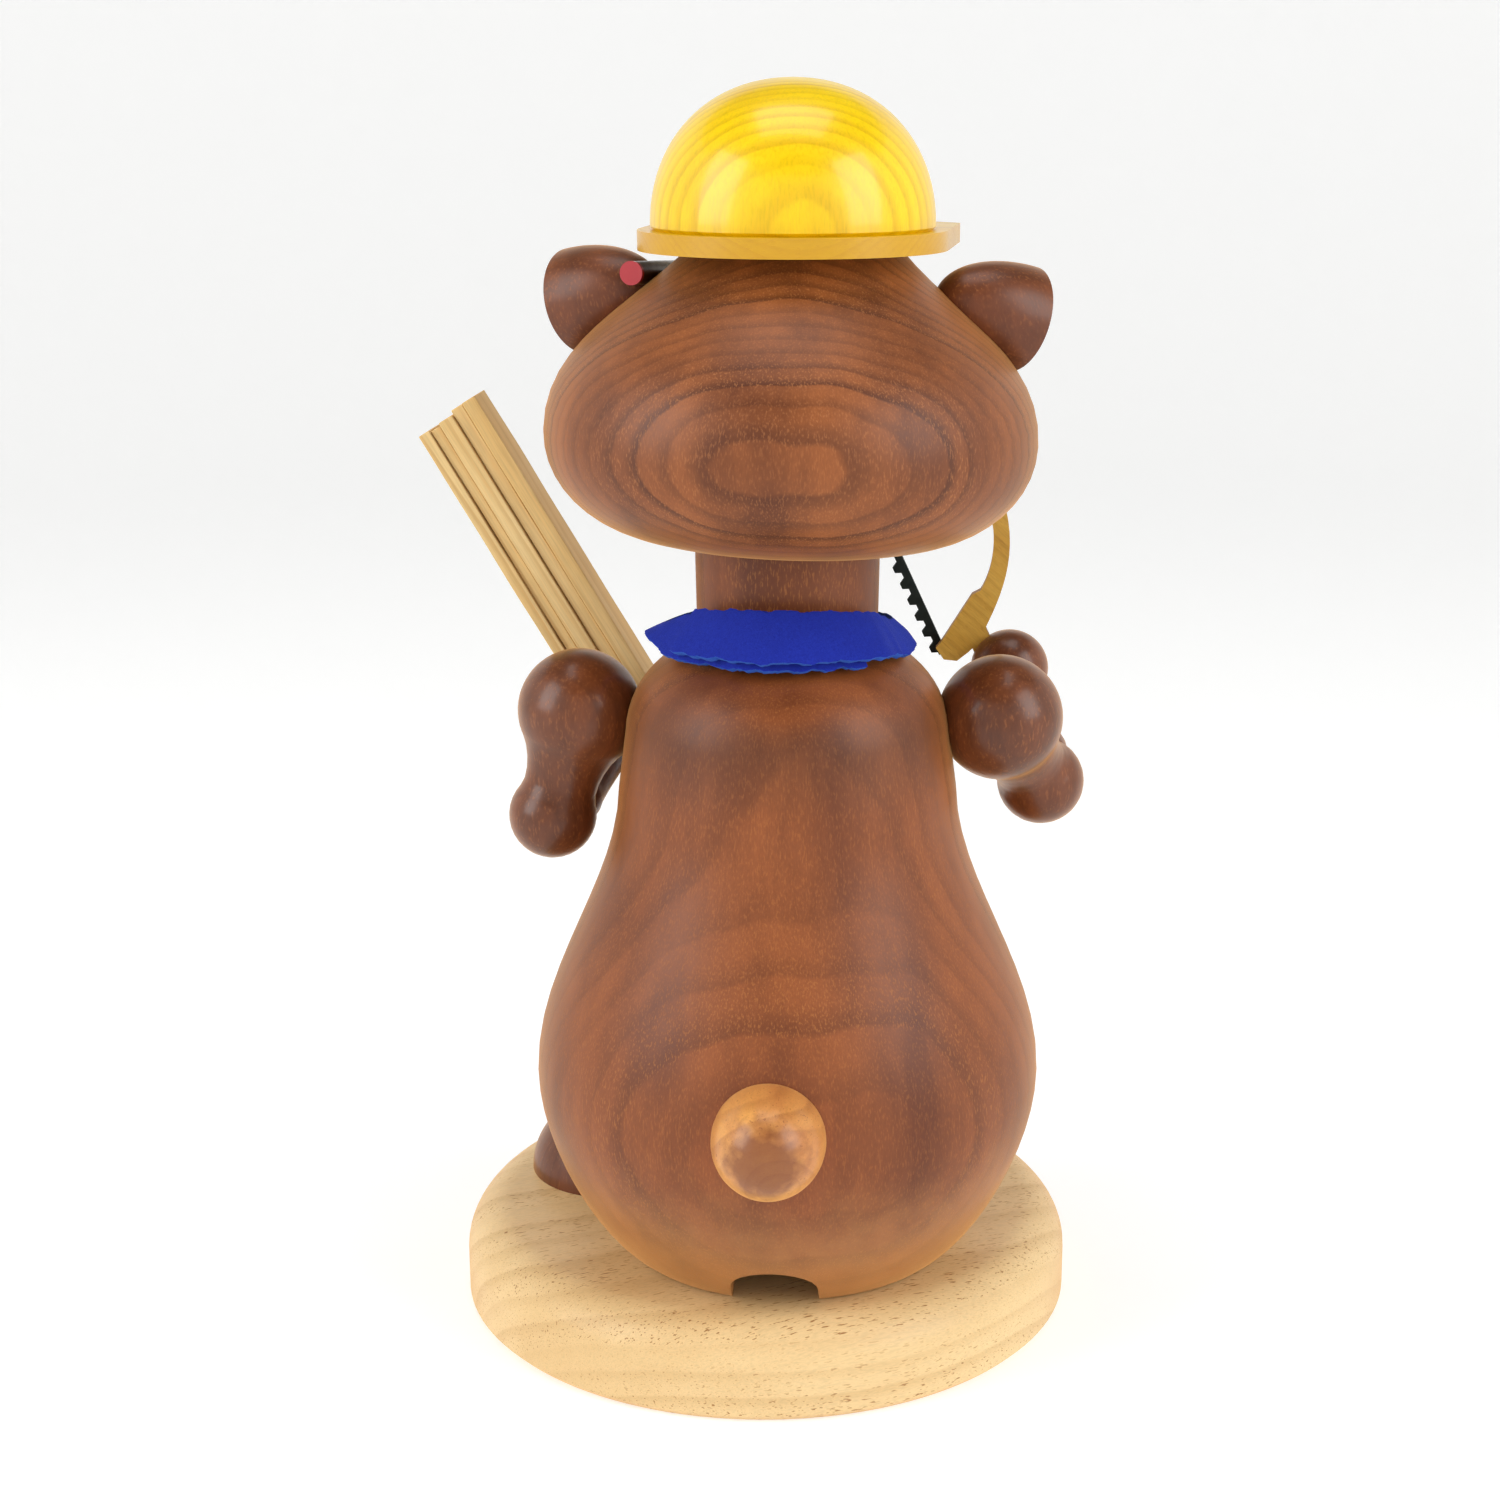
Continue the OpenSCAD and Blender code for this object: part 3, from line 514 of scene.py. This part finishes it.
# The cut edge of the same felt, painted a lighter blue: a painted highlight where edges catch light
felt_edge_highlight = felt.copy()
felt_edge_highlight.name = "blue wool felt, cut edge, painted highlight"
tree = felt_edge_highlight.node_tree
shader = tree.nodes["Principled BSDF"]
inner_tone = shader.inputs["Base Color"].links[0].from_socket
edge_highlight_tone = add(tree, "MixRGB", {"Fac": 0.6, "Color1": inner_tone, "Color2": linear("#2f66bd")})
tree.links.new(edge_highlight_tone.outputs["Color"], shader.inputs["Base Color"])

neckerchief = new_piece("felt_neckerchief", "figure", lay_felt, felt)
neckerchief.data.materials.append(felt_edge_highlight)


def apply_modifiers(piece):
    """Turns a piece and its modifiers into plain mesh."""
    baked = bpy.data.meshes.new_from_object(piece.evaluated_get(bpy.context.evaluated_depsgraph_get()))
    piece.modifiers.clear()
    piece.data = baked


thick = neckerchief.modifiers.new("thickness", "SOLIDIFY")
thick.thickness = FELT / 1000
thick.offset = 0.0
thick.use_even_offset = True
# The rim faces take the cut-edge copy with its painted highlight
thick.material_offset_rim = 1
soft = neckerchief.modifiers.new("soft edge", "BEVEL")
soft.width = 0.00015
soft.segments = 2
soft.limit_method = "ANGLE"
apply_modifiers(neckerchief)
for face in neckerchief.data.polygons:
    face.use_smooth = True
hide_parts("neckerchief")

# ---------------------------------------------------------------- arms
# Each upper arm is one turned piece with two beads, and each forearm ends in a round hand.
# They are dowelled and glued at shoulder and elbow.

# The ears' stain, a little lighter, in a slightly glossier lacquer
arm_wood, *_ = wood(
    "dark red-brown stained wood, satin lacquer", "#7a4120", "#522913", "#43200d", "#95592c",
    pith=(0, -60, 0), ring=2.4, lines=0.35, flecks=0.4, fleck_size=(0.4, 1.5), fleck_from=0.57,
    blotch=11, roughness=0.38, coat=0.3)
for name in ("left_upper_arm", "right_upper_arm", "left_forearm", "right_forearm"):
    finish_node(name, arm_wood)

# ---------------------------------------------------------------- saw
# The bow is cut by laser from three-ply birch, so its edges are scorched brown. The blade
# is a strip of blued steel glued to the bow's two ends.

# Birch plywood: honey-coloured faces, and edges that the laser scorched brown
plywood, tree, shader, place = wood(
    "birch plywood, scorched edge", "#d5a84a", "#c79637", "#a87626", "#95692a",
    pith=(0, -60, 90), grain=(0.75, 0.0, 0.66), ring=1.3, lines=0.4, flecks=0.45,
    fleck_size=(0.25, 2.2), fleck_from=0.58, blotch=7, roughness=0.5, coat=0.05)
faces = add(tree, "SeparateXYZ", {0: add(tree, "TexCoord").outputs["Normal"]}).outputs["Y"]
flat_face = add(tree, "Math", {0: faces}, operation="ABSOLUTE")
scorched = add(tree, "MapRange", {
    "Value": flat_face, "From Min": 0.8, "From Max": 0.3, "To Max": 0.85})
lay_over(tree, shader, scorched, "#6a4420")
finish_node("saw_bow", plywood)

# Blued steel: nearly black with a green cast, rubbed brighter here and there
blued, tree, shader, place = new_material("blued steel")
rubbed = add(tree, "TexNoise", {"Vector": place, "Scale": 0.6, "Detail": 5.0}).outputs["Fac"]
tone = add(tree, "MixRGB", {"Fac": rubbed, "Color1": linear("#141a16"), "Color2": linear("#2f3833")})
tree.links.new(tone.outputs["Color"], shader.inputs["Base Color"])
worn = add(tree, "MapRange", {"Value": rubbed, "To Min": 0.35, "To Max": 0.6})
tree.links.new(worn.outputs["Result"], shader.inputs["Roughness"])
shader.inputs["Metallic"].default_value = 0.6
finish_node("saw_blade", blued)

# ---------------------------------------------------------------- battens
# Five planed pine strips of uneven width, glued side by side with eased edges, so that a
# groove shows between each pair. Raw wood: pale, with tan streaks along the grain.
for number in range(1, 6):
    name = f"batten_{number}"
    points = np.array([v.co[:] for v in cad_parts[name].data.vertices])
    middle = (points.max(axis=0) + points.min(axis=0)) / 2
    long_way = np.linalg.svd(points - middle, full_matrices=False)[2][0]
    long_way *= np.sign(long_way[2])
    long_way[1] = 0.0
    long_way /= np.linalg.norm(long_way)
    deep_way = np.array([0.0, 1.0, 0.0])
    wide_way = np.cross(deep_way, long_way)
    ways = np.array([wide_way, deep_way, long_way])
    spread = (points - middle) @ ways.T
    centre = middle + ((spread.max(axis=0) + spread.min(axis=0)) / 2) @ ways
    half = (spread.max(axis=0) - spread.min(axis=0)) / 2
    # Raw pine: each strip comes from another place beside the pith, so no two are streaked alike
    from_pith = Vector((26 + 9 * number, -12 - 4 * number, 3))
    pine, *_ = wood(
        f"raw pine {number}", "#e6c78c", "#d9b474", "#c2924f", "#c99a58",
        pith=Vector(centre) * 1000 + from_pith, grain=long_way, ring=1.5 + 0.2 * (number % 3),
        lines=0.6, flecks=0.3, fleck_size=(0.3, 7.0), fleck_from=0.58, blotch=11, roughness=0.6,
        coat=0.0)

    def plane_batten(shape):
        """A strip with eased edges that is a little uneven along its length."""
        bmesh.ops.create_cube(shape, size=2.0)
        for v in shape.verts:
            v.co = Vector((v.co.x * half[0], v.co.y * half[1], v.co.z * half[2]))
        bmesh.ops.bevel(shape, geom=shape.edges[:], offset=0.00018, segments=3, profile=0.6, affect="EDGES")
        lengthwise = [e for e in shape.edges if abs(e.verts[0].co.z - e.verts[1].co.z) > half[2]]
        bmesh.ops.subdivide_edges(shape, edges=lengthwise, cuts=30, use_grid_fill=True)
        for v in shape.verts:
            way = Vector((v.co.x / half[0], v.co.y / half[1], 0))
            v.co += way * 0.00009 * (noise.noise(v.co * 90 + Vector((number * 5, 0, 0))) - 0.5)
        shape.transform(Matrix.Translation(centre) @ Matrix(ways.T.tolist()).to_4x4())

    strip = new_piece(f"pine_{name}", "figure", plane_batten, pine)
    strip.data.shade_smooth()
    strip.modifiers.new("crisp faces", "WEIGHTED_NORMAL")
    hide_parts(name)

# ---------------------------------------------------------------- floor, light and camera
# A plain pale floor of card that curves up all round and glows a little, like a light table,
# with a soft box on each side and one above. The camera stands behind the figure, looking down.
SIGHT = math.radians(4)  # the camera stands this far round from straight behind
PITCH = math.radians(15.03)
LENS = 59.424  # mm, over a sensor 36 mm wide
AWAY, ABOVE = 0.371, 0.195
camera_data = bpy.data.cameras.new("camera")
camera_data.sensor_width = 36.0
camera_data.lens = LENS
camera_data.shift_x = -0.025
camera_data.clip_start = 0.01
camera = bpy.data.objects.new("camera", camera_data)
bpy.context.scene.collection.objects.link(camera)
camera.location = (-AWAY * math.sin(SIGHT), AWAY * math.cos(SIGHT), ABOVE)
camera.rotation_euler = (math.pi / 2 - PITCH, 0, math.pi + SIGHT)
bpy.context.scene.camera = camera
bpy.context.scene.view_settings.view_transform = "Standard"


def pour_floor(shape):
    """A round floor whose rim curves up on every side."""
    sides = 96
    flat, curve, rim = 0.9, 0.5, 1.2  # radius of the flat, radius of the curve, height of the rim
    outline = [(0.3, 0.0), (0.6, 0.0), (flat, 0.0)]
    for a in np.linspace(0.1, 1.57, 14):
        outline.append((flat + curve * math.sin(a), curve - curve * math.cos(a)))
    outline.append((flat + curve, rim))
    turns = [i * math.tau / sides for i in range(sides)]
    rings = []
    for radius, z in outline:
        rings.append([
            shape.verts.new((radius * math.cos(turn), radius * math.sin(turn), z)) for turn in turns])
    shape.faces.new(rings[0])
    for a, b in zip(rings, rings[1:]):
        for i in range(sides):
            shape.faces.new((a[(i + 1) % sides], a[i], b[i], b[(i + 1) % sides]))


# White card: matt, and lit through a little, which keeps the ground behind the figure even
paper, _, shader, _ = new_material("white card")
shader.inputs["Base Color"].default_value = linear("#d8d8d7")
shader.inputs["Roughness"].default_value = 0.9
shader.inputs["Specular IOR Level"].default_value = 0.1
shader.inputs["Emission Color"].default_value = linear("#ffffff")
shader.inputs["Emission Strength"].default_value = 0.42
floor_mesh = bpy.data.meshes.new("floor")
floor_shape = bmesh.new()
pour_floor(floor_shape)
floor_shape.to_mesh(floor_mesh)
floor_shape.free()
floor_mesh.materials.append(paper)
floor = bpy.data.objects.new("floor", floor_mesh)
bpy.context.scene.collection.objects.link(floor)
floor_mesh.shade_smooth()

AIM = Vector((0, 0, 0.1))
for name, place_at, wide, tall, power in (
        ("left box", (0.60, 0.32, 0.45), 0.4, 0.6, 3.3),
        ("right box", (-0.60, 0.30, 0.45), 0.4, 0.6, 3.3),
        ("top box", (0.0, 0.0, 1.0), 0.6, 0.5, 2.8)):
    lamp = bpy.data.lights.new(name, "AREA")
    lamp.shape = "RECTANGLE"
    lamp.size = wide
    lamp.size_y = tall
    lamp.energy = power
    holder = bpy.data.objects.new(name, lamp)
    holder.location = place_at
    holder.rotation_euler = (AIM - Vector(place_at)).to_track_quat("-Z", "Y").to_euler()
    bpy.context.scene.collection.objects.link(holder)
world = bpy.data.worlds.new("tent")
world.use_nodes = True
world.node_tree.nodes["Background"].inputs["Color"].default_value = linear("#ffffff")
world.node_tree.nodes["Background"].inputs["Strength"].default_value = 0.05
bpy.context.scene.world = world
